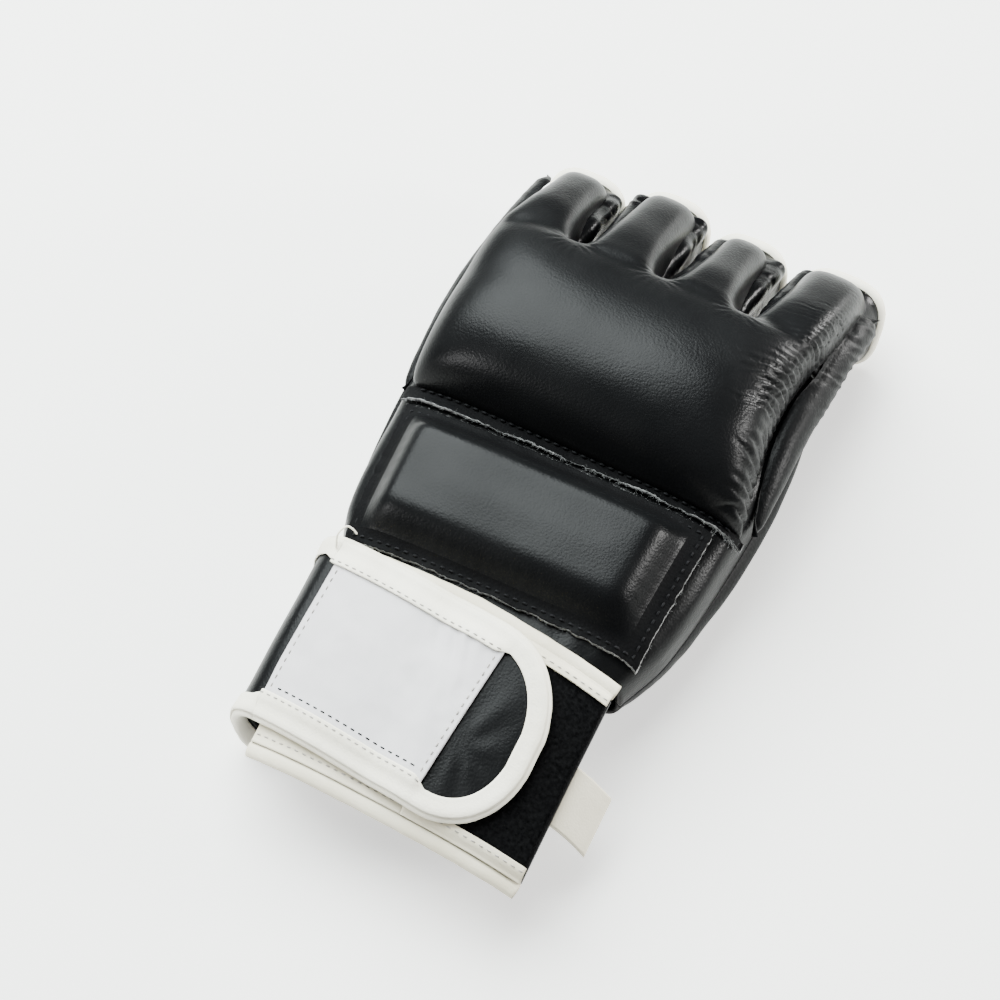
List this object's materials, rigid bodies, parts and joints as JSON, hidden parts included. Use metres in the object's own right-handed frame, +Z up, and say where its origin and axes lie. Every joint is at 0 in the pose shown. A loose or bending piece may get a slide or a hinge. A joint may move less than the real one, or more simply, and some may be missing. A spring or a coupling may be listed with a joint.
{
  "type": "open-palm kickboxing glove",
  "caption": "Open-palm kickboxing glove for the right hand: black leather with a padded knuckle piece, back pad, white edge bindings and a wrist strap with a bare label panel",
  "frame": {"origin": "middle of the bounding box's underside, on the surface the glove lies on", "axes": "+X towards the little finger, +Y towards the fingertips, +Z up through the back of the hand"},
  "size_m": [0.1262, 0.239, 0.073],
  "materials": {
    "black_leather": "semi-gloss black leather with a fine pebble grain",
    "white_leather": "soft off-white leather edging, slightly wrinkled",
    "black_lining": "matt black woven lining",
    "black_pile": "fuzzy black loop pile",
    "grey_fabric": "light grey satin-like label fabric, bare"
  },
  "bodies": {
    "root": {"back_panel": "black_leather", "back_lining": "black_lining", "palm_panel": "black_leather", "palm_opening_binding": "white_leather", "index_sleeve": "black_leather", "middle_sleeve": "black_leather", "ring_sleeve": "black_leather", "little_sleeve": "black_leather", "index_binding": "white_leather", "middle_binding": "white_leather", "ring_binding": "white_leather", "little_binding": "white_leather", "knuckle_pad": "black_leather", "ulnar_side_strip": "black_leather", "index_side_strip": "black_leather", "back_pad": "black_leather", "thumb_panel": "black_leather", "thumb_pad": "black_leather", "thumb_band": "black_leather", "thumb_front_binding": "white_leather", "thumb_rear_binding": "white_leather", "thumb_edge_binding": "white_leather", "wrist_flap": "black_leather", "flap_top_binding": "white_leather", "flap_bottom_binding": "white_leather", "loop_patch": "black_pile", "strap": "black_leather", "strap_binding": "white_leather", "label_panel": "grey_fabric", "pull_tab": "white_leather"}
  },
  "joints": []
}
